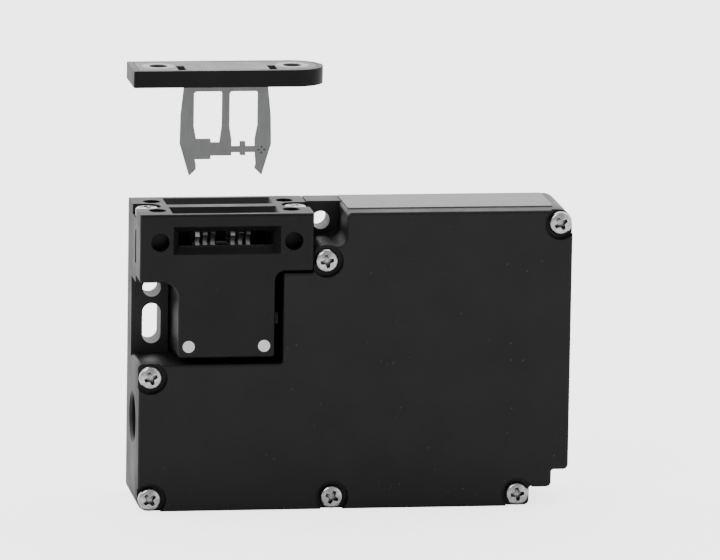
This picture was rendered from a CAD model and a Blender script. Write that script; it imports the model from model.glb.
"""Looks of a tongue interlock switch and its coded tongue, dressed around the construction model."""
import logging
import math
from dataclasses import dataclass
from enum import Enum
from typing import Any, Sequence

import bmesh
import bpy
from mathutils import Matrix, Vector


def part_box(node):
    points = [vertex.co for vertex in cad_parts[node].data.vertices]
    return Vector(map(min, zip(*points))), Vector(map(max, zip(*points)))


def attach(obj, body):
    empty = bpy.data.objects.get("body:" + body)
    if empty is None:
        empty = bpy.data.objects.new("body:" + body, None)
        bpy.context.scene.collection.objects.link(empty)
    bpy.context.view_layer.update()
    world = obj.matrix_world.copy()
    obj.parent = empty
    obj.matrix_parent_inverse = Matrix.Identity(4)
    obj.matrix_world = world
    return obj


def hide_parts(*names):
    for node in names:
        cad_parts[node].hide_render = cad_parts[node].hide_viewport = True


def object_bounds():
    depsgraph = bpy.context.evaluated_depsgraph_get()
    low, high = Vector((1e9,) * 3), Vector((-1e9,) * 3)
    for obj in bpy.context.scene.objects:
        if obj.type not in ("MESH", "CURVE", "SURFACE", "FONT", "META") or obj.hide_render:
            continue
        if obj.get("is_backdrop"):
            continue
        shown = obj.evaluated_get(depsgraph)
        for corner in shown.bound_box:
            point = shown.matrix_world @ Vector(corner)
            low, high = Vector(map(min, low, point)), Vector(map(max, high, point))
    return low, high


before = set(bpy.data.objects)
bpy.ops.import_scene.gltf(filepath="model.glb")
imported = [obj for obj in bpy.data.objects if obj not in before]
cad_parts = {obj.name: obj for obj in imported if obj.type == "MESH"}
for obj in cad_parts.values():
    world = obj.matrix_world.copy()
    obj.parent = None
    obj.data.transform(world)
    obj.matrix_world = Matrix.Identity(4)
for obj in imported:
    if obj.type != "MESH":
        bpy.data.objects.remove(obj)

LOG = logging.getLogger("interlock_switch")
MM = 0.001
WELD = 1e-7                 # Points that lie closer than this, in metres, are one.
FLAT = 1e-5                 # Points of one flat face differ in height by less, in metres.
PLACE_DIGITS = 4            # Solids whose left ends round alike, in metres, are one column.
FULL_TURN = 2.0 * math.pi
QUARTER_TURN = 0.5 * math.pi
QUARTERS = 4
SWITCH = "switch"
TONGUE = "tongue"
SPIN = "spin"
WHITE = "ffffff"

# The sRGB curve, which is straight up to its knee.
SRGB_KNEE = 0.04045
SRGB_SLOPE = 12.92
SRGB_OFFSET = 0.055
SRGB_POWER = 2.4

Corners = Sequence[tuple[float, float]]
Span = tuple[float, float]

# Noise seldom leaves 0.3 to 0.7. One of these spans of it is spread over a pattern's effect.
SOFT: Span = (0.3, 0.7)
CLEAR: Span = (0.35, 0.65)
SPARSE: Span = (0.5, 0.62)

# Effects that grow from nothing to all, and that fade from all to nothing.
WHOLE: Span = (0.0, 1.0)
FADING: Span = (1.0, 0.0)

# How many finer layers the noise of a grain, of a cloud and of a haze has.
GRAIN_LAYERS = 2.0
CLOUD_LAYERS = 3.0
HAZE_LAYERS = 4.0

# How many rays look for a rounded edge and for a hollow.
EDGE_SAMPLES = 4
HOLLOW_SAMPLES = 6
MIXED = 2                   # The output of a colour mix.


class Facing(Enum):
    """The way a copy looks, as the Euler angles that turn +Z to it."""

    FRONT = (QUARTER_TURN, 0.0, 0.0)
    UP = (0.0, 0.0, 0.0)


# ---------------------------------------------------------------------------------------------
# Small helpers
# ---------------------------------------------------------------------------------------------
def linear(hex_colour: str) -> tuple[float, float, float, float]:
    """Turns an sRGB hex colour into the linear values that shaders take.

    Args:
        hex_colour: Six hex digits, such as "1c1d1f".

    Returns:
        Red, green, blue and an alpha of 1.
    """
    channels = []
    for start in (0, 2, 4):
        value = int(hex_colour[start:start + 2], 16) / 255.0
        straight = value / SRGB_SLOPE
        curved = ((value + SRGB_OFFSET) / (1.0 + SRGB_OFFSET)) ** SRGB_POWER
        channels.append(straight if value <= SRGB_KNEE else curved)
    return (*channels, 1.0)


def per(size_mm: float) -> float:
    """Returns the scale of a pattern whose parts are this many millimetres wide."""
    return 1.0 / (size_mm * MM)


def limits(span: Span, effect: Span) -> dict[str, float]:
    """Returns the limits of a map range that spreads a span over an effect."""
    return {"From Min": span[0], "From Max": span[1], "To Min": effect[0], "To Max": effect[1]}


def two_colours(share: bpy.types.NodeSocket, first: Any, second: Any) -> dict[int, Any]:
    """Lists the inputs of a colour mix.

    Args:
        share: The share of the second colour.
        first: The colour at 0, as hex digits or as a socket.
        second: The colour at 1, as hex digits or as a socket.

    Returns:
        The inputs, by their numbers.
    """
    pair = [linear(colour) if isinstance(colour, str) else colour for colour in (first, second)]
    return {0: share, 6: pair[0], 7: pair[1]}


def add_node(tree: bpy.types.NodeTree, kind: str, inputs: dict[Any, Any] | None = None,
             **settings: Any) -> bpy.types.Node:
    """Adds a node, sets it up and links what it reads.

    Args:
        tree: The tree that gets the node.
        kind: The node's type name.
        inputs: For an input's name or number, a constant or the socket that feeds it.
        settings: The node's own properties.

    Returns:
        The new node.
    """
    node = tree.nodes.new(kind)
    for name, value in settings.items():
        setattr(node, name, value)
    for key, value in (inputs or {}).items():
        if isinstance(value, bpy.types.NodeSocket):
            tree.links.new(value, node.inputs[key])
        else:
            node.inputs[key].default_value = value
    return node


def new_object(name: str, mesh: bpy.types.Mesh) -> bpy.types.Object:
    """Puts a mesh in the scene.

    Args:
        name: The object's name.
        mesh: Its mesh.

    Returns:
        The new object.
    """
    made = bpy.data.objects.new(name, mesh)
    bpy.context.scene.collection.objects.link(made)
    return made


def baked(made: bpy.types.Object) -> bpy.types.Object:
    """Replaces an object's live modifiers by the plain mesh that they give.

    Args:
        made: The object to bake.

    Returns:
        The same object, with no modifier left.
    """
    bpy.context.view_layer.update()
    graph = bpy.context.evaluated_depsgraph_get()
    mesh = bpy.data.meshes.new_from_object(made.evaluated_get(graph), depsgraph=graph)
    made.modifiers.clear()
    made.data = mesh
    return made


def islands(node: str) -> list[tuple[Vector, Vector]]:
    """Finds the boxes of the separate solids of a construction node.

    Args:
        node: The node's name.

    Returns:
        The lowest and highest corner of each solid, ordered from left to right.
    """
    solid = bmesh.new()
    solid.from_mesh(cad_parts[node].data)
    bmesh.ops.remove_doubles(solid, verts=solid.verts, dist=WELD)
    waiting = set(solid.verts)
    boxes = []
    while waiting:
        edge = [waiting.pop()]
        members = list(edge)
        while edge:
            for link in edge.pop().link_edges:
                for vert in link.verts:
                    if vert in waiting:
                        waiting.discard(vert)
                        edge.append(vert)
                        members.append(vert)
        low = Vector([min(v.co[axis] for v in members) for axis in range(3)])
        high = Vector([max(v.co[axis] for v in members) for axis in range(3)])
        boxes.append((low, high))
    solid.free()
    return sorted(boxes, key=lambda pair: (round(pair[0].x, PLACE_DIGITS), pair[0].z))


def lathe(profile: Corners, sides: int) -> bmesh.types.BMesh:
    """Turns a profile of (radius, height) points about the Z axis.

    Args:
        profile: Points in metres. It starts and ends on the axis, or ends where it started.
        sides: How many flats make the full turn.

    Returns:
        A closed mesh whose faces look outwards.
    """
    solid = bmesh.new()
    rings = []
    for radius, height in profile:
        if radius == 0.0:
            rings.append([solid.verts.new((0.0, 0.0, height))] * sides)
            continue
        angles = [FULL_TURN * side / sides for side in range(sides)]
        rings.append([solid.verts.new((radius * math.cos(a), radius * math.sin(a), height))
                      for a in angles])
    for upper, lower in zip(rings, rings[1:]):
        for side in range(sides):
            after = (side + 1) % sides
            corners = [upper[side], lower[side], lower[after], upper[after]]
            solid.faces.new(list(dict.fromkeys(corners)))
    # This closes the seam of a profile that ends where it started.
    bmesh.ops.remove_doubles(solid, verts=solid.verts, dist=WELD)
    bmesh.ops.recalc_face_normals(solid, faces=solid.faces)
    return solid


def prism(outline: Corners, top: float, bottom: float, shrink: float) -> bmesh.types.BMesh:
    """Makes an upright prism that narrows towards its bottom.

    Args:
        outline: The top face's corners, in metres, going round once.
        top: Height of the top face.
        bottom: Height of the bottom face.
        shrink: The bottom face's size as a share of the top one's.

    Returns:
        A closed mesh whose faces look outwards.
    """
    solid = bmesh.new()
    upper = [solid.verts.new((x, y, top)) for x, y in outline]
    lower = [solid.verts.new((x * shrink, y * shrink, bottom)) for x, y in outline]
    solid.faces.new(upper)
    solid.faces.new(list(reversed(lower)))
    for number in range(len(upper)):
        after = (number + 1) % len(upper)
        solid.faces.new((upper[number], lower[number], lower[after], upper[after]))
    bmesh.ops.recalc_face_normals(solid, faces=solid.faces)
    return solid


def mesh_of(name: str, solid: bmesh.types.BMesh, smooth: bool = True) -> bpy.types.Mesh:
    """Turns a bmesh into a mesh and frees it.

    Args:
        name: The mesh's name.
        solid: The bmesh to keep.
        smooth: Whether its faces are shaded smooth.

    Returns:
        The new mesh.
    """
    for face in solid.faces:
        face.smooth = smooth
    mesh = bpy.data.meshes.new(name)
    solid.to_mesh(mesh)
    solid.free()
    return mesh


def arc(centre: tuple[float, float], radius: float, start: float, end: float,
        steps: int) -> list[tuple[float, float]]:
    """Lays points along an arc.

    Args:
        centre: The arc's centre.
        radius: Its radius.
        start: Angle of the first point, in degrees.
        end: Angle of the last point, in degrees.
        steps: How many steps lie between both.

    Returns:
        The points, with both ends.
    """
    points = []
    for step in range(steps + 1):
        angle = math.radians(start + (end - start) * step / steps)
        points.append((centre[0] + radius * math.cos(angle),
                       centre[1] + radius * math.sin(angle)))
    return points


# ---------------------------------------------------------------------------------------------
# Finishes
# ---------------------------------------------------------------------------------------------
@dataclass(frozen=True)
class Finish:
    """What every finish shares: a name, a colour and how it takes the light."""

    name: str
    colour: str
    roughness: float
    metallic: float = 0.0
    specular: float = 0.5

    def start(self) -> tuple[bpy.types.NodeTree, bpy.types.Node, bpy.types.NodeSocket]:
        """Begins the material.

        Returns:
            Its tree, its shader and the coordinates of the piece in metres.
        """
        material = bpy.data.materials.new(self.name)
        material.use_nodes = True
        tree = material.node_tree
        tree.nodes.clear()
        shader = add_node(tree, "ShaderNodeBsdfPrincipled", {
            "Base Color": linear(self.colour),
            "Roughness": self.roughness,
            "Metallic": self.metallic,
            "Specular IOR Level": self.specular,
        })
        add_node(tree, "ShaderNodeOutputMaterial", {"Surface": shader.outputs["BSDF"]})
        place = add_node(tree, "ShaderNodeTexCoord").outputs["Object"]
        return tree, shader, place

    def about(self, glossier: float, duller: float) -> Span:
        """Returns the range of roughness around the finish's own."""
        return self.roughness - glossier, self.roughness + duller

    def material(self) -> bpy.types.Material:
        """Makes the material once, and shares it afterwards.

        Returns:
            The material.
        """
        known = bpy.data.materials.get(self.name)
        if known is None:
            self.make()
            known = bpy.data.materials[self.name]
        return known

    def make(self) -> None:
        """Builds the material's nodes."""
        raise NotImplementedError


def mottle(tree: bpy.types.NodeTree, place: bpy.types.NodeSocket, size_mm: float, layers: float,
           span: Span, effect: Span) -> bpy.types.NodeSocket:
    """Lays blotches over a surface.

    Args:
        tree: The material's tree.
        place: The coordinates, in metres.
        size_mm: Width of a blotch.
        layers: How many finer layers the blotches have.
        span: The part of the noise that counts.
        effect: What that part is spread over.

    Returns:
        The value at each point.
    """
    blotch = add_node(tree, "ShaderNodeTexNoise",
                      {"Vector": place, "Scale": per(size_mm), "Detail": layers})
    value = add_node(tree, "ShaderNodeMapRange",
                     {"Value": blotch.outputs["Fac"], **limits(span, effect)})
    return value.outputs["Result"]


def tinted(tree: bpy.types.NodeTree, pattern: bpy.types.NodeSocket, span: Span, first: Any,
           second: Any) -> bpy.types.NodeSocket:
    """Lets a pattern lead from one colour to another.

    Args:
        tree: The material's tree.
        pattern: The pattern.
        span: The part of it that leads from the first colour to the second.
        first: The colour below the span, as hex digits or as a socket.
        second: The colour above the span, as hex digits or as a socket.

    Returns:
        The colour at each point.
    """
    share = add_node(tree, "ShaderNodeMapRange", {"Value": pattern, **limits(span, WHOLE)})
    colour = add_node(tree, "ShaderNodeMix",
                      two_colours(share.outputs["Result"], first, second), data_type="RGBA")
    return colour.outputs[MIXED]


def rolled_lines(tree: bpy.types.NodeTree, place: bpy.types.NodeSocket,
                 widths_mm: tuple[float, float, float]) -> bpy.types.NodeSocket:
    """Lays the long thin lines that rollers and dies leave.

    Args:
        tree: The material's tree.
        place: The coordinates, in metres.
        widths_mm: Size of a line along X, Y and Z.

    Returns:
        The lines as noise.
    """
    stretched = add_node(tree, "ShaderNodeMapping",
                         {"Vector": place, "Scale": tuple(per(width) for width in widths_mm)})
    lines = add_node(tree, "ShaderNodeTexNoise",
                     {"Vector": stretched.outputs["Vector"], "Scale": 1.0,
                      "Detail": GRAIN_LAYERS})
    return lines.outputs["Fac"]


def relief(tree: bpy.types.NodeTree, shader: bpy.types.Node, height: bpy.types.NodeSocket,
           height_mm: float, strength: float, edge_mm: float = 0.0) -> None:
    """Raises a surface by a pattern, over edges that look rounded where they are asked for.

    Args:
        tree: The material's tree.
        shader: The shader that gets the relief.
        height: The pattern.
        height_mm: How high it stands.
        strength: How much of it shows.
        edge_mm: Radius of the edges, or 0 for edges as they are.
    """
    inputs = {"Strength": strength, "Distance": height_mm * MM, "Height": height}
    if edge_mm:
        edge = add_node(tree, "ShaderNodeBevel", {"Radius": edge_mm * MM},
                        samples=EDGE_SAMPLES)
        inputs["Normal"] = edge.outputs["Normal"]
    bump = add_node(tree, "ShaderNodeBump", inputs)
    tree.links.new(bump.outputs["Normal"], shader.inputs["Normal"])


def grained(tree: bpy.types.NodeTree, shader: bpy.types.Node, place: bpy.types.NodeSocket,
            size_mm: float, height_mm: float, strength: float, edge_mm: float = 0.0) -> None:
    """Raises a surface by an even grain.

    Args:
        tree: The material's tree.
        shader: The shader that gets the grain.
        place: The coordinates, in metres.
        size_mm: Width of a grain.
        height_mm: How high it stands.
        strength: How much of it shows.
        edge_mm: Radius of the edges, or 0 for edges as they are.
    """
    grain = add_node(tree, "ShaderNodeTexNoise",
                     {"Vector": place, "Scale": per(size_mm), "Detail": GRAIN_LAYERS})
    relief(tree, shader, grain.outputs["Fac"], height_mm, strength, edge_mm)


@dataclass(frozen=True)
class MouldedPlastic(Finish):
    """Glass-filled thermoplastic from a spark-eroded mould: fine grain, faint pale specks.

    The real grain and fibre ends are about 0.1 mm wide, too fine to show, so both are coarser.
    """

    grain_mm: float = 0.45
    grain_height_mm: float = 0.02
    grain_strength: float = 0.5
    speck: str = "3a3b3e"
    speck_spacing_mm: float = 3.2
    speck_radius_mm: float = 0.42
    blotch_mm: float = 14.0
    roughness_change: float = 0.07
    edge_mm: float = 0.35

    def make(self) -> None:
        """Grain as bump, rounded edges, and specks where the glass fibre shows."""
        tree, shader, place = self.start()
        cells = add_node(tree, "ShaderNodeTexVoronoi",
                         {"Vector": place, "Scale": per(self.speck_spacing_mm)})
        radius = self.speck_radius_mm / self.speck_spacing_mm
        dot = add_node(tree, "ShaderNodeMapRange",
                       {"Value": cells.outputs["Distance"], **limits((0.0, radius), FADING)})
        chosen = mottle(tree, place, self.blotch_mm, GRAIN_LAYERS, SPARSE, WHOLE)
        share = add_node(tree, "ShaderNodeMath", {0: dot.outputs["Result"], 1: chosen},
                         operation="MULTIPLY").outputs["Value"]
        colour = add_node(tree, "ShaderNodeMix", two_colours(share, self.colour, self.speck),
                          data_type="RGBA")
        tree.links.new(colour.outputs[MIXED], shader.inputs["Base Color"])
        rough = mottle(tree, place, self.blotch_mm, HAZE_LAYERS, SOFT,
                       self.about(self.roughness_change, self.roughness_change))
        tree.links.new(rough, shader.inputs["Roughness"])
        grained(tree, shader, place, self.grain_mm, self.grain_height_mm, self.grain_strength,
                self.edge_mm)


@dataclass(frozen=True)
class PlatedMetal(Finish):
    """Plated metal: bright, with the soft cloud of the bath, and darker in its hollows."""

    cloud: str = "9b9c9c"
    cloud_mm: float = 0.9
    hollow: str = "6a6b6b"
    hollow_mm: float = 1.3
    open_share: Span = (0.55, 0.95)
    glossier: float = 0.06
    duller: float = 0.08
    pit_mm: float = 0.12
    pit_height_mm: float = 0.004
    pit_strength: float = 0.5

    def make(self) -> None:
        """Clouds in colour and gloss, a darker colour in recesses, and fine pits."""
        tree, shader, place = self.start()
        clouds = add_node(tree, "ShaderNodeTexNoise",
                          {"Vector": place, "Scale": per(self.cloud_mm),
                           "Detail": CLOUD_LAYERS}).outputs["Fac"]
        bath = tinted(tree, clouds, CLEAR, self.colour, self.cloud)
        depth = add_node(tree, "ShaderNodeAmbientOcclusion",
                         {"Distance": self.hollow_mm * MM}, samples=HOLLOW_SAMPLES)
        colour = tinted(tree, depth.outputs["AO"], self.open_share, self.hollow, bath)
        tree.links.new(colour, shader.inputs["Base Color"])
        rough = add_node(tree, "ShaderNodeMapRange",
                         {"Value": clouds,
                          **limits(SOFT, self.about(self.glossier, self.duller))})
        tree.links.new(rough.outputs["Result"], shader.inputs["Roughness"])
        grained(tree, shader, place, self.pit_mm, self.pit_height_mm, self.pit_strength)


@dataclass(frozen=True)
class RolledSteel(Finish):
    """Rolled sheet or drawn wire: satin, with fine lines along Z and softly rounded edges.

    The real lines are a few hundredths of a millimetre wide, so they are coarser here.
    """

    pale: str = "a9a9a8"
    line_mm: float = 0.18
    line_length_mm: float = 6.0
    line_height_mm: float = 0.004
    line_strength: float = 0.4
    haze_mm: float = 5.0
    glossier: float = 0.05
    duller: float = 0.06
    edge_mm: float = 0.12
    shear: str = ""
    shear_top_mm: float = 127.5
    shear_facing: Span = (0.3, 0.8)

    def sheared(self, tree: bpy.types.NodeTree, place: bpy.types.NodeSocket,
                face: bpy.types.NodeSocket) -> bpy.types.NodeSocket:
        """Darkens the cut edges of the hanging sheet, which lies across Y.

        Args:
            tree: The material's tree.
            place: The coordinates, in metres.
            face: Colour of the rolled faces.

        Returns:
            The colour with the cut edges in it.
        """
        normal = add_node(tree, "ShaderNodeNewGeometry").outputs["Normal"]
        across = add_node(tree, "ShaderNodeSeparateXYZ", {"Vector": normal}).outputs["Y"]
        turned = add_node(tree, "ShaderNodeMath", {0: across},
                          operation="ABSOLUTE").outputs["Value"]
        edge_on = add_node(tree, "ShaderNodeMapRange",
                           {"Value": turned, **limits(self.shear_facing, FADING)})
        height = add_node(tree, "ShaderNodeSeparateXYZ", {"Vector": place}).outputs["Z"]
        top = self.shear_top_mm * MM
        below = add_node(tree, "ShaderNodeMapRange",
                         {"Value": height, **limits((top - MM, top), FADING)})
        share = add_node(tree, "ShaderNodeMath",
                         {0: edge_on.outputs["Result"], 1: below.outputs["Result"]},
                         operation="MULTIPLY").outputs["Value"]
        colour = add_node(tree, "ShaderNodeMix", two_colours(share, face, self.shear),
                          data_type="RGBA")
        return colour.outputs[MIXED]

    def make(self) -> None:
        """Lines in colour and as bump, a haze in the gloss, and rounded edges."""
        tree, shader, place = self.start()
        lines = rolled_lines(tree, place, (self.line_mm, self.line_mm, self.line_length_mm))
        colour = tinted(tree, lines, SOFT, self.colour, self.pale)
        if self.shear:
            colour = self.sheared(tree, place, colour)
        tree.links.new(colour, shader.inputs["Base Color"])
        rough = mottle(tree, place, self.haze_mm, CLOUD_LAYERS, SOFT,
                       self.about(self.glossier, self.duller))
        tree.links.new(rough, shader.inputs["Roughness"])
        relief(tree, shader, lines, self.line_height_mm, self.line_strength, self.edge_mm)


@dataclass(frozen=True)
class SmoothMoulding(Finish):
    """Unfilled moulded plastic or rubber: even, a little cloudy, no grain to speak of."""

    shade: str = "808080"
    cloud_mm: float = 3.0
    skin_mm: float = 0.25
    skin_height_mm: float = 0.006
    skin_strength: float = 0.5

    def make(self) -> None:
        """A faint cloud in the colour and a soft skin."""
        tree, shader, place = self.start()
        clouds = add_node(tree, "ShaderNodeTexNoise",
                          {"Vector": place, "Scale": per(self.cloud_mm),
                           "Detail": CLOUD_LAYERS})
        colour = tinted(tree, clouds.outputs["Fac"], CLEAR, self.colour, self.shade)
        tree.links.new(colour, shader.inputs["Base Color"])
        grained(tree, shader, place, self.skin_mm, self.skin_height_mm, self.skin_strength)


@dataclass(frozen=True)
class WoundCopper(Finish):
    """Enamelled winding wire: bands round the coil's axis, which lies along X.

    One wire is too fine to show, so a band is about six wires wide.
    """

    gap: str = "3a1c0e"
    wire_mm: float = 0.35
    wave_radians: float = 20.0
    band_strength: float = 0.8

    def make(self) -> None:
        """Bands in colour and as bump."""
        tree, shader, place = self.start()
        # The wave turns by this many radians for each unit of its scale.
        scale = per(self.wire_mm) / self.wave_radians
        bands = add_node(tree, "ShaderNodeTexWave", {"Vector": place, "Scale": scale},
                         wave_type="BANDS", bands_direction="X",
                         wave_profile="SIN").outputs["Fac"]
        colour = add_node(tree, "ShaderNodeMix", two_colours(bands, self.gap, self.colour),
                          data_type="RGBA")
        tree.links.new(colour.outputs[MIXED], shader.inputs["Base Color"])
        relief(tree, shader, bands, self.wire_mm / 2.0, self.band_strength)


@dataclass(frozen=True)
class BareFoil(Finish):
    """Anodised aluminium foil of the rating plate, left bare: satin grey, faintly rolled."""

    pale: str = "848585"
    line_mm: float = 0.25
    line_length_mm: float = 9.0
    roughness_change: float = 0.06

    def make(self) -> None:
        """Rolling lines along the plate's length, in colour and gloss."""
        tree, shader, place = self.start()
        lines = rolled_lines(tree, place, (self.line_length_mm, self.line_mm, self.line_mm))
        colour = tinted(tree, lines, SOFT, self.colour, self.pale)
        tree.links.new(colour, shader.inputs["Base Color"])
        gloss = self.about(self.roughness_change, self.roughness_change)
        rough = add_node(tree, "ShaderNodeMapRange", {"Value": lines, **limits(SOFT, gloss)})
        tree.links.new(rough.outputs["Result"], shader.inputs["Roughness"])


@dataclass(frozen=True)
class StudioPaper(Finish):
    """Matt white paper of the studio floor, lit from below as on a light table."""

    glow: float = 2.5
    tooth_mm: float = 2.0
    tooth_height_mm: float = 0.1
    tooth_strength: float = 0.1

    def make(self) -> None:
        """A matt surface with a barely visible tooth, and a glow that only the camera sees."""
        tree, shader, place = self.start()
        seen = add_node(tree, "ShaderNodeLightPath").outputs["Is Camera Ray"]
        strength = add_node(tree, "ShaderNodeMath", {0: seen, 1: self.glow},
                            operation="MULTIPLY")
        shader.inputs["Emission Color"].default_value = linear(WHITE)
        tree.links.new(strength.outputs["Value"], shader.inputs["Emission Strength"])
        grained(tree, shader, place, self.tooth_mm, self.tooth_height_mm, self.tooth_strength)


# Glass-filled polyamide: nearly black, with a soft sheen broken by grain and pale specks.
COVER_PLASTIC = MouldedPlastic("cover_glass_filled_polyamide", "121214", 0.46,
                               specular=0.3)
HOUSING_PLASTIC = MouldedPlastic("housing_glass_filled_polyamide", "131315", 0.42,
                                 specular=0.32, grain_strength=0.3)
HEAD_PLASTIC = MouldedPlastic("head_glass_filled_polyamide", "101011", 0.4, specular=0.24,
                              grain_mm=0.3, grain_strength=0.22, speck="2a2b2d",
                              edge_mm=0.3)
# The carrier's mould is smoother: a deeper black with a clearer sheen.
BASE_PLASTIC = MouldedPlastic("tongue_carrier_polyamide", "0b0b0d", 0.32, specular=0.17,
                              grain_mm=0.3, grain_strength=0.12, speck="1c1c1e",
                              edge_mm=0.3)
# Bright zinc: nearly white on the crown, dark in the cross recess.
SCREW_ZINC = PlatedMetal("zinc_plated_screw_steel", "dcdddd", 0.24, 1.0, cloud="b4b5b5",
                         hollow="3c3c3d")
# Zinc on thick soft iron: greyer and duller than on the screws.
YOKE_ZINC = PlatedMetal("zinc_plated_yoke_steel", "b0b1b1", 0.34, 1.0)
# Black oxide: near black with a dull metal sheen.
BLACK_OXIDE = PlatedMetal("black_oxide_bar_steel", "1d1d1f", 0.5, 1.0, cloud="161617")
# Stamped stainless sheet: satin mid grey with dark sheared edges.
TONGUE_STEEL = RolledSteel("stamped_stainless_tongue", "747576", 0.44, 1.0, pale="808181",
                           shear="2c2c2d")
# Thin bright stainless strip, and wire that keeps the lines of its die.
STRIP_STEEL = RolledSteel("bent_stainless_disc", "c9caca", 0.3, 1.0, pale="e2e3e3")
SPRING_WIRE = RolledSteel("drawn_spring_wire", "9a9b9d", 0.28, 1.0, line_length_mm=2.0)
# Dents that the punch left rough: darker than the sheet round them.
MARK_STEEL = PlatedMetal("punched_mark_steel", "5c5d5e", 0.5, 1.0, cloud="4a4b4c")
# Acetal: milky white, even and slightly waxy.
PIN_ACETAL = SmoothMoulding("acetal_pin", "ededee", 0.4, shade="e2e2e3")
# Steel burnished by a press tool: paler and smoother than the sheet.
EYELET_STEEL = RolledSteel("burnished_eyelet_steel", "a2a3a3", 0.36, 1.0, pale="b2b3b3")
# Unfilled mouldings inside: dark drum, ivory coil former and blocks, orange plungers.
DARK_POLYAMIDE = SmoothMoulding("dark_drum_polyamide", "19191b", 0.5, shade="202022")
PALE_POLYAMIDE = SmoothMoulding("natural_polyamide", "d8d2bf", 0.45, shade="cdc6b1")
PLUNGER_PLASTIC = SmoothMoulding("orange_acetal", "c9541f", 0.4, shade="b94a1a")
# Nitrile rubber: black and quite matt.
SEAL_RUBBER = SmoothMoulding("nitrile_rubber", "0c0c0d", 0.7, shade="111112")
# Anodised foil: satin grey, half way between metal and paint.
PLATE_FOIL = BareFoil("bare_rating_foil", "747576", 0.42, 0.6)
# Nickel over brass: pale yellow with a soft shine.
CLAMP_BRASS = PlatedMetal("nickel_plated_brass", "c8b27a", 0.3, 1.0, cloud="b39c63")
# Enamelled copper: warm brown, glossy, in dark-edged bands.
COIL_COPPER = WoundCopper("enamelled_copper_wire", "b0613a", 0.35, 0.8)
# Matt white paper: it shows no clear reflection of the switch.
FLOOR_PAPER = StudioPaper("white_studio_paper", "f4f4f4", 0.9)

NODE_FINISHES: dict[Finish, tuple[str, ...]] = {
    COVER_PLASTIC: ("front_cover",),
    HOUSING_PLASTIC: ("rear_housing", "entry_plug", "head_back_cover"),
    HEAD_PLASTIC: ("head_housing",),
    BASE_PLASTIC: ("tongue_base",),
    SEAL_RUBBER: ("cover_gasket", "release_seal"),
    PIN_ACETAL: ("head_pins",),
    PLATE_FOIL: ("rating_plate",),
    TONGUE_STEEL: ("tongue_steel",),
    STRIP_STEEL: ("code_discs",),
    SCREW_ZINC: ("contact_screws", "terminal_screws", "release_spindle"),
    YOKE_ZINC: ("solenoid_frame", "solenoid_core", "armature", "drum_axle"),
    BLACK_OXIDE: ("lock_bar",),
    SPRING_WIRE: ("rod_spring", "lock_spring", "release_clip"),
    DARK_POLYAMIDE: ("drum_hub",),
    PALE_POLYAMIDE: ("solenoid_bobbin", "door_contact_block", "lock_contact_block",
                     "terminal_block"),
    PLUNGER_PLASTIC: ("push_rod", "door_contact_plunger", "lock_contact_plunger"),
    CLAMP_BRASS: ("terminal_clamps",),
    COIL_COPPER: ("solenoid_coil",),
}


def dress_nodes() -> None:
    """Gives each construction node that stays its finish."""
    for finish, nodes in NODE_FINISHES.items():
        for node in nodes:
            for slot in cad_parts[node].material_slots:
                slot.material = finish.material()
            LOG.info("%s dressed in %s", node, finish.name)


# ---------------------------------------------------------------------------------------------
# Trees that copy and dress
# ---------------------------------------------------------------------------------------------
def open_tree(name: str, inputs: dict[str, str],
              output: str) -> tuple[bpy.types.NodeTree, Any]:
    """Starts a geometry tree.

    Args:
        name: The tree's name.
        inputs: For each named input, its kind.
        output: Name of the geometry that it hands out.

    Returns:
        The tree and the sockets of its inputs.
    """
    tree = bpy.data.node_groups.new(name, "GeometryNodeTree")
    for label, kind in inputs.items():
        tree.interface.new_socket(label, in_out="INPUT", socket_type="NodeSocket" + kind)
    tree.interface.new_socket(output, in_out="OUTPUT", socket_type="NodeSocketGeometry")
    return tree, add_node(tree, "NodeGroupInput").outputs


def close_tree(tree: bpy.types.NodeTree, shape: bpy.types.NodeSocket,
               finish: bpy.types.NodeSocket, output: str) -> None:
    """Ends a geometry tree: its shape is made real, dressed and handed out.

    Args:
        tree: The tree to end.
        shape: What it has made so far.
        finish: The material.
        output: Name of the geometry that it hands out.
    """
    real = add_node(tree, "GeometryNodeRealizeInstances", {"Geometry": shape})
    dressed = add_node(tree, "GeometryNodeSetMaterial",
                       {"Geometry": real.outputs["Geometry"], "Material": finish})
    add_node(tree, "NodeGroupOutput", {output: dressed.outputs["Geometry"]})


def copies_tree() -> bpy.types.NodeTree:
    """Builds the tree that puts a prototype on every point of a carrier.

    Each point has the attribute "spin", a turn about the prototype's own axis.

    Returns:
        The tree, with inputs for the prototype, its facing, its size and its finish.
    """
    tree, given = open_tree("copies_on_points", {
        "Points": "Geometry", "Prototype": "Object", "Facing": "Vector", "Size": "Float",
        "Finish": "Material"}, "Copies")
    shape = add_node(tree, "GeometryNodeObjectInfo", {"Object": given["Prototype"]})
    placed = add_node(tree, "GeometryNodeInstanceOnPoints",
                      {"Points": given["Points"], "Instance": shape.outputs["Geometry"],
                       "Rotation": given["Facing"], "Scale": given["Size"]})
    spin = add_node(tree, "GeometryNodeInputNamedAttribute", {"Name": SPIN},
                    data_type="FLOAT")
    turn = add_node(tree, "ShaderNodeCombineXYZ", {"Z": spin.outputs["Attribute"]})
    turned = add_node(tree, "GeometryNodeRotateInstances",
                      {"Instances": placed.outputs["Instances"],
                       "Rotation": turn.outputs["Vector"]})
    close_tree(tree, turned.outputs["Instances"], given["Finish"], "Copies")
    return tree


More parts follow.
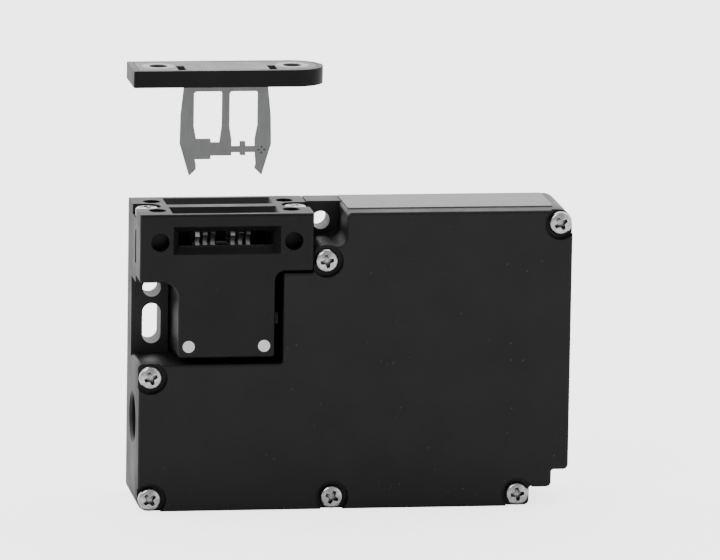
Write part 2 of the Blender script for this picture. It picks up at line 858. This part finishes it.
def grow(carrier: bpy.types.Object, tree: bpy.types.NodeTree,
         inputs: dict[str, Any]) -> bpy.types.Object:
    """Runs a geometry tree on a carrier and keeps its result as a plain mesh.

    Args:
        carrier: The object whose mesh the tree reads.
        tree: The tree to run.
        inputs: Values for the tree's named inputs.

    Returns:
        The carrier, now holding the result.
    """
    run = carrier.modifiers.new("grow", "NODES")
    run.node_group = tree
    for item in tree.interface.items_tree:
        if item.in_out == "INPUT" and item.name in inputs:
            run[item.identifier] = inputs[item.name]
    return baked(carrier)


# ---------------------------------------------------------------------------------------------
# Screws
# ---------------------------------------------------------------------------------------------
@dataclass
class PanHeadScrew:
    """One cross-recessed pan head screw, its head's top at the origin, pointing down.

    Lengths are in millimetres and angles in degrees.
    """

    head_radius: float = 3.5
    head_height: float = 2.4
    crown: float = 0.35
    crown_steps: int = 4
    edge_radius: float = 1.15
    edge_steps: int = 6
    shank_radius: float = 1.75
    shank_sides: int = 24
    shank_overlap: float = 0.05
    neck: float = 1.0
    root_radius: float = 1.4
    root: Span = (0.3, 0.7)
    tip: float = 0.4
    length: float = 16.0
    pitch: float = 1.3
    wing_reach: float = 2.3
    wing_half: float = 0.5
    star_corner: float = 0.8
    recess_depth: float = 1.8
    recess_shrink: float = 0.72
    edge_break: float = 0.07
    break_segments: int = 2
    edge_angle: float = 35.0
    crease_angle: float = 32.0
    sides: int = 64

    def head(self) -> bpy.types.Object:
        """Makes the head with its recess.

        Returns:
            An object that holds the closed head.
        """
        flat = self.head_radius - self.edge_radius
        shoulder = -self.crown - self.edge_radius
        shares = [step / self.crown_steps for step in range(self.crown_steps + 1)]
        crown_points = [(flat * share, -self.crown * share ** 2) for share in shares]
        edge_points = arc((flat, shoulder), self.edge_radius, 90.0, 0.0, self.edge_steps)
        below = [(self.head_radius, -self.head_height), (0.0, -self.head_height)]
        profile = [(r * MM, z * MM) for r, z in crown_points + edge_points[1:] + below]
        head = new_object("screw_head", mesh_of("screw_head", lathe(profile, self.sides)))
        cutter = new_object("screw_recess", mesh_of("screw_recess", self.recess(), False))
        cut = head.modifiers.new("recess", "BOOLEAN")
        cut.operation = "DIFFERENCE"
        cut.solver = "EXACT"
        cut.object = cutter
        soften = head.modifiers.new("edges", "BEVEL")
        soften.width = self.edge_break * MM
        soften.segments = self.break_segments
        soften.limit_method = "ANGLE"
        soften.angle_limit = math.radians(self.edge_angle)
        baked(head)
        bpy.data.objects.remove(cutter)
        return head

    def recess(self) -> bmesh.types.BMesh:
        """Makes the tapered star that cuts the cross recess.

        Returns:
            The star, which starts above the crown.
        """
        corners = []
        for wing in range(QUARTERS):
            turn = Matrix.Rotation(wing * QUARTER_TURN, 2)
            for x, y in ((self.wing_reach, -self.wing_half), (self.wing_reach, self.wing_half),
                         (self.star_corner, self.star_corner)):
                corner = turn @ Vector((x, y)) * MM
                corners.append((corner.x, corner.y))
        above = 2.0 * self.crown
        return prism(corners, above * MM, -self.recess_depth * MM, self.recess_shrink)

    def shank(self) -> bpy.types.Mesh:
        """Makes the threaded shank, whose ridges are rings.

        Returns:
            The closed shank, which starts just inside the head.
        """
        top = -self.head_height + self.shank_overlap
        height = top - self.neck
        bottom = -self.head_height - self.length
        points = [(0.0, top), (self.shank_radius, top), (self.shank_radius, height)]
        while height - self.pitch > bottom + self.pitch:
            points += [(self.root_radius, height - self.pitch * self.root[0]),
                       (self.root_radius, height - self.pitch * self.root[1]),
                       (self.shank_radius, height - self.pitch)]
            height -= self.pitch
        points += [(self.root_radius, bottom + self.tip), (0.0, bottom)]
        profile = [(r * MM, z * MM) for r, z in points]
        return mesh_of("screw_shank", lathe(profile, self.shank_sides), False)

    def make(self) -> bpy.types.Object:
        """Joins head and shank.

        Returns:
            The prototype that the copies are made from.
        """
        head = self.head()
        joined = bmesh.new()
        joined.from_mesh(head.data)
        joined.from_mesh(self.shank())
        head.data = mesh_of("pan_head_screw", joined)
        head.data.set_sharp_from_angle(angle=math.radians(self.crease_angle))
        return head


@dataclass
class ScrewSet:
    """The screws of one construction node, set with their crosses at uneven turns.

    The spins are in degrees, taken in turn. The rise, in millimetres, lifts screws that face
    up, so that they show in their pockets.
    """

    node: str
    facing: Facing
    screw: PanHeadScrew
    spins: tuple[float, ...]
    rise: float = 0.0

    def build(self, tree: bpy.types.NodeTree) -> bpy.types.Object:
        """Puts one screw at each solid of the node.

        Args:
            tree: The tree that copies a prototype onto points.

        Returns:
            The screws as one piece.
        """
        prototype = self.screw.make()
        places = []
        for low, high in islands(self.node):
            middle = (low + high) / 2.0
            if self.facing is Facing.FRONT:
                places.append((middle.x, low.y, middle.z))
            else:
                places.append((middle.x, middle.y, high.z + self.rise * MM))
        mesh = bpy.data.meshes.new(self.node + "_points")
        mesh.from_pydata(places, [], [])
        spin = mesh.attributes.new(SPIN, "FLOAT", "POINT")
        for number in range(len(places)):
            spin.data[number].value = math.radians(self.spins[number % len(self.spins)])
        piece = grow(new_object(self.node + "_detail", mesh), tree,
                     {"Prototype": prototype, "Facing": self.facing.value, "Size": 1.0,
                      "Finish": SCREW_ZINC.material()})
        bpy.data.objects.remove(prototype)
        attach(piece, SWITCH)
        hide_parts(self.node)
        LOG.info("%s: %d screws", piece.name, len(places))
        return piece


COVER_SCREWS = ScrewSet("cover_screws", Facing.FRONT, PanHeadScrew(),
                        (38.0, 20.0, 12.0, 66.0, 8.0, 30.0))
HEAD_SCREWS = ScrewSet("head_screws", Facing.UP,
                       PanHeadScrew(length=20.0, head_height=2.85, crown=0.12,
                                    edge_radius=0.8),
                       (10.0, 55.0), rise=0.45)


# ---------------------------------------------------------------------------------------------
# Thread of the open cable entry
# ---------------------------------------------------------------------------------------------
@dataclass
class EntryThread:
    """The M16 x 1.5 thread of the open cable entry, as a ridge that winds along X.

    Lengths are in millimetres. The start and the height are those of the entry's axis, from
    the housing's left end and from its bottom.
    """

    pitch: float = 1.5
    ridge: float = 0.42
    ridge_corners: int = 4
    wall_radius: float = 7.25
    length: float = 7.4
    start: float = 1.1
    height: float = 26.0
    steps_per_turn: int = 72

    def tree(self) -> bpy.types.NodeTree:
        """Builds the tree that winds the ridge.

        Returns:
            The tree, with named inputs for every size.
        """
        tree, given = open_tree("wound_ridge", {
            "Carrier": "Geometry", "Radius": "Float", "Turns": "Float", "Length": "Float",
            "Ridge": "Float", "Start": "Vector", "Finish": "Material"}, "Thread")
        path = add_node(tree, "GeometryNodeCurveSpiral",
                        {"Resolution": self.steps_per_turn, "Rotations": given["Turns"],
                         "Start Radius": given["Radius"], "End Radius": given["Radius"],
                         "Height": given["Length"]})
        section = add_node(tree, "GeometryNodeCurvePrimitiveCircle",
                           {"Resolution": self.ridge_corners, "Radius": given["Ridge"]})
        swept = add_node(tree, "GeometryNodeCurveToMesh",
                         {"Curve": path.outputs["Curve"],
                          "Profile Curve": section.outputs["Curve"], "Fill Caps": True})
        laid = add_node(tree, "GeometryNodeTransform",
                        {"Geometry": swept.outputs["Mesh"], "Translation": given["Start"],
                         "Rotation": (0.0, QUARTER_TURN, 0.0)})
        close_tree(tree, laid.outputs["Geometry"], given["Finish"], "Thread")
        return tree

    def build(self) -> bpy.types.Object:
        """Winds the thread inside the entry at the housing's left end.

        Returns:
            The thread as one piece.
        """
        low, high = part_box("rear_housing")
        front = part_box("front_cover")[0].y
        start = (low.x + self.start * MM, (front + high.y) / 2.0,
                 low.z + self.height * MM)
        carrier = new_object("entry_thread", bpy.data.meshes.new("entry_thread"))
        piece = grow(carrier, self.tree(), {
            "Radius": (self.wall_radius - self.ridge) * MM,
            "Turns": self.length / self.pitch,
            "Length": self.length * MM,
            "Ridge": self.ridge * MM,
            "Start": start,
            "Finish": HOUSING_PLASTIC.material(),
        })
        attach(piece, SWITCH)
        LOG.info("%s: %.1f turns", piece.name, self.length / self.pitch)
        return piece


# ---------------------------------------------------------------------------------------------
# Tongue
# ---------------------------------------------------------------------------------------------
@dataclass
class TongueFace:
    """Where the flat, hanging part of the tongue lies.

    Its points are looked for up to near_tip millimetres above the tips.
    """

    near_tip: float = 12.0

    def corners(self) -> list[Vector]:
        """Picks the points of the tongue near its tips.

        Returns:
            The points, in metres.
        """
        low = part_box("tongue_steel")[0]
        points = [v.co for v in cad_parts["tongue_steel"].data.vertices]
        return [p for p in points if p.z < low.z + self.near_tip * MM]

    def front(self) -> float:
        """Returns Y of the front face of the prongs."""
        return min(p.y for p in self.corners())

    def right_edge(self) -> float:
        """Returns X of the outer edge of the right prong."""
        return max(p.x for p in self.corners())


@dataclass
class EyeletRings:
    """The two burnished rings that the fixing screws press on, on the tongue's strip.

    Lengths are in millimetres.
    """

    inner: float = 2.75
    outer: float = 5.0
    height: float = 0.05
    edge: float = 0.02
    spacing: float = 40.0
    sides: int = 48

    def build(self, tree: bpy.types.NodeTree) -> bpy.types.Object:
        """Lays one ring round each fixing hole.

        Args:
            tree: The tree that copies a prototype onto points.

        Returns:
            Both rings as one piece.
        """
        steel = [v.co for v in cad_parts["tongue_steel"].data.vertices]
        top = max(p.z for p in steel)
        strip = [p.y for p in steel if p.z > top - FLAT]
        middle_y = (min(strip) + max(strip)) / 2.0
        profile = [(self.inner, 0.0), (self.inner, self.height - self.edge),
                   (self.inner + self.edge, self.height),
                   (self.outer - self.edge, self.height),
                   (self.outer, self.height - self.edge), (self.outer, 0.0),
                   (self.inner, 0.0)]
        ring = new_object("eyelet_ring", mesh_of(
            "eyelet_ring", lathe([(r * MM, z * MM) for r, z in profile], self.sides)))
        mesh = bpy.data.meshes.new("eyelet_points")
        mesh.from_pydata([(x, middle_y, top) for x in self.holes()], [], [])
        mesh.attributes.new(SPIN, "FLOAT", "POINT")
        piece = grow(new_object("eyelet_rings", mesh), tree,
                     {"Prototype": ring, "Facing": Facing.UP.value, "Size": 1.0,
                      "Finish": EYELET_STEEL.material()})
        bpy.data.objects.remove(ring)
        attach(piece, TONGUE)
        LOG.info("rings round both fixing holes")
        return piece

    def holes(self) -> tuple[float, float]:
        """Finds the fixing holes, which lie either side of the tongue's middle.

        Returns:
            X of the left and of the right hole, in metres.
        """
        xs = [p.x for p in TongueFace().corners()]
        middle = (min(xs) + max(xs)) / 2.0
        half = self.spacing / 2.0 * MM
        return middle - half, middle + half


@dataclass
class PunchedMark:
    """Four small dents in a cross, punched beside the coded bar of the tongue.

    Lengths are in millimetres; the stretch is a share.
    """

    reach: float = 0.85
    dent_radius: float = 0.3
    stretch: float = 1.35
    proud: float = 0.02
    from_right: float = 2.9
    from_tip: float = 7.6
    sides: int = 16

    def build(self) -> bpy.types.Object:
        """Lays the dents on the front of the tongue's right prong.

        Returns:
            The dents as one piece.
        """
        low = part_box("tongue_steel")[0]
        solid = bmesh.new()
        face = TongueFace().front()
        x = TongueFace().right_edge() - self.from_right * MM
        z = low.z + self.from_tip * MM
        profile = [(0.0, self.proud * MM), (self.dent_radius * MM, self.proud * MM),
                   (self.dent_radius * MM, -self.proud * MM), (0.0, -self.proud * MM)]
        for quarter in range(QUARTERS):
            turn = quarter * QUARTER_TURN
            centre = Vector((x + self.reach * math.cos(turn) * MM, face,
                             z + self.reach * math.sin(turn) * MM))
            dent = lathe(profile, self.sides)
            dent.transform(Matrix.Translation(centre)
                           @ Matrix.Rotation(QUARTER_TURN, 4, "X")
                           @ Matrix.Rotation(turn, 4, "Z")
                           @ Matrix.Diagonal((self.stretch, 1.0, 1.0, 1.0)))
            part = mesh_of("dent", dent, False)
            solid.from_mesh(part)
            bpy.data.meshes.remove(part)
        LOG.info("punched mark on the right prong")
        mesh = mesh_of("punched_mark", solid, False)
        mesh.materials.append(MARK_STEEL.material())
        piece = new_object("punched_mark", mesh)
        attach(piece, TONGUE)
        return piece


# ---------------------------------------------------------------------------------------------
# Studio
# ---------------------------------------------------------------------------------------------
@dataclass(frozen=True)
class Lamp:
    """One square soft light: its place and size in metres, its power in watts."""

    name: str
    place: tuple[float, float, float]
    size: float
    power: float


@dataclass
class Studio:
    """White floor and sky, soft lights and the long lens.

    Angles are in degrees. The aim is in millimetres, the other lengths are in metres.
    """

    azimuth: float = -8.6
    elevation: float = 10.8
    roll: float = 0.9
    distance: float = 2.4
    sight: float = 100.0
    sensor_mm: float = 36.0
    dots_per_mm: float = 3.34
    dots_across: float = 720.0
    aim_right: float = 3.2
    aim_height: float = 66.8
    floor_size: float = 30.0
    sky_bright: float = 2.1
    sky_dark: float = 0.42
    sky_turn: Span = (-0.35, 0.25)
    lamps: tuple[Lamp, ...] = (
        Lamp("key_light", (-0.9, -1.0, 1.3), 0.8, 9.0),
        Lamp("fill_light", (1.2, -1.4, 0.5), 1.2, 3.0),
    )

    def lay_floor(self) -> None:
        """Lays the floor under the switch."""
        half = self.floor_size / 2.0
        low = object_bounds()[0]
        mesh = bpy.data.meshes.new("floor")
        corners = [(-half, -half, low[2]), (half, -half, low[2]), (half, half, low[2]),
                   (-half, half, low[2])]
        mesh.from_pydata(corners, [], [(0, 1, 2, 3)])
        mesh.materials.append(FLOOR_PAPER.material())
        new_object("floor", mesh)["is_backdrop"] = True

    def make_sky(self) -> None:
        """Makes a sky that is white behind the object and dimmer behind the camera."""
        world = bpy.data.worlds.new("studio_sky")
        bpy.context.scene.world = world
        world.use_nodes = True
        tree = world.node_tree
        tree.nodes.clear()
        way = add_node(tree, "ShaderNodeTexCoord").outputs["Generated"]
        parts = add_node(tree, "ShaderNodeSeparateXYZ", {"Vector": way})
        level = add_node(tree, "ShaderNodeMapRange",
                         {"Value": parts.outputs["Y"],
                          **limits(self.sky_turn, (self.sky_dark, self.sky_bright))})
        light = add_node(tree, "ShaderNodeBackground",
                         {"Color": linear(WHITE), "Strength": level.outputs["Result"]})
        add_node(tree, "ShaderNodeOutputWorld", {"Surface": light.outputs["Background"]})

    def hang_lamps(self) -> None:
        """Hangs the soft lights, each aimed at the middle of the object."""
        low, high = (Vector(corner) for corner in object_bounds())
        middle = (low + high) / 2.0
        for lamp in self.lamps:
            light = bpy.data.lights.new(lamp.name, "AREA")
            light.shape = "SQUARE"
            light.size = lamp.size
            light.energy = lamp.power
            hung = bpy.data.objects.new(lamp.name, light)
            hung.location = Vector(lamp.place)
            hung.rotation_euler = (middle - hung.location).to_track_quat("-Z", "Y").to_euler()
            bpy.context.scene.collection.objects.link(hung)

    def set_camera(self) -> None:
        """Sets the long lens: low, and a little to the object's left."""
        data = bpy.data.cameras.new("camera")
        data.sensor_width = self.sensor_mm
        data.lens = (self.dots_per_mm / MM * self.sensor_mm * self.distance
                     / self.dots_across)
        data.clip_end = self.sight
        seen = bpy.data.objects.new("camera", data)
        azimuth = math.radians(self.azimuth)
        elevation = math.radians(self.elevation)
        back = Vector((math.sin(azimuth) * math.cos(elevation),
                       -math.cos(azimuth) * math.cos(elevation), math.sin(elevation)))
        aim = Vector((self.aim_right * MM, 0.0, self.aim_height * MM))
        seen.location = aim + back * self.distance
        upright = (-back).to_track_quat("-Z", "Y").to_matrix()
        tilted = upright @ Matrix.Rotation(math.radians(self.roll), 3, "Z")
        seen.rotation_euler = tilted.to_euler()
        bpy.context.scene.collection.objects.link(seen)
        bpy.context.scene.camera = seen

    def build(self) -> None:
        """Sets up floor, sky, lights and camera."""
        self.lay_floor()
        self.make_sky()
        self.hang_lamps()
        self.set_camera()
        LOG.info("studio ready")


def main() -> None:
    """Builds every piece and the studio."""
    logging.basicConfig(level=logging.INFO, format="%(name)s: %(message)s")
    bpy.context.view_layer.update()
    dress_nodes()
    copies = copies_tree()
    for copied in (COVER_SCREWS, HEAD_SCREWS, EyeletRings()):
        copied.build(copies)
    for single in (EntryThread(), PunchedMark(), Studio()):
        single.build()


if __name__ == "__main__":
    main()
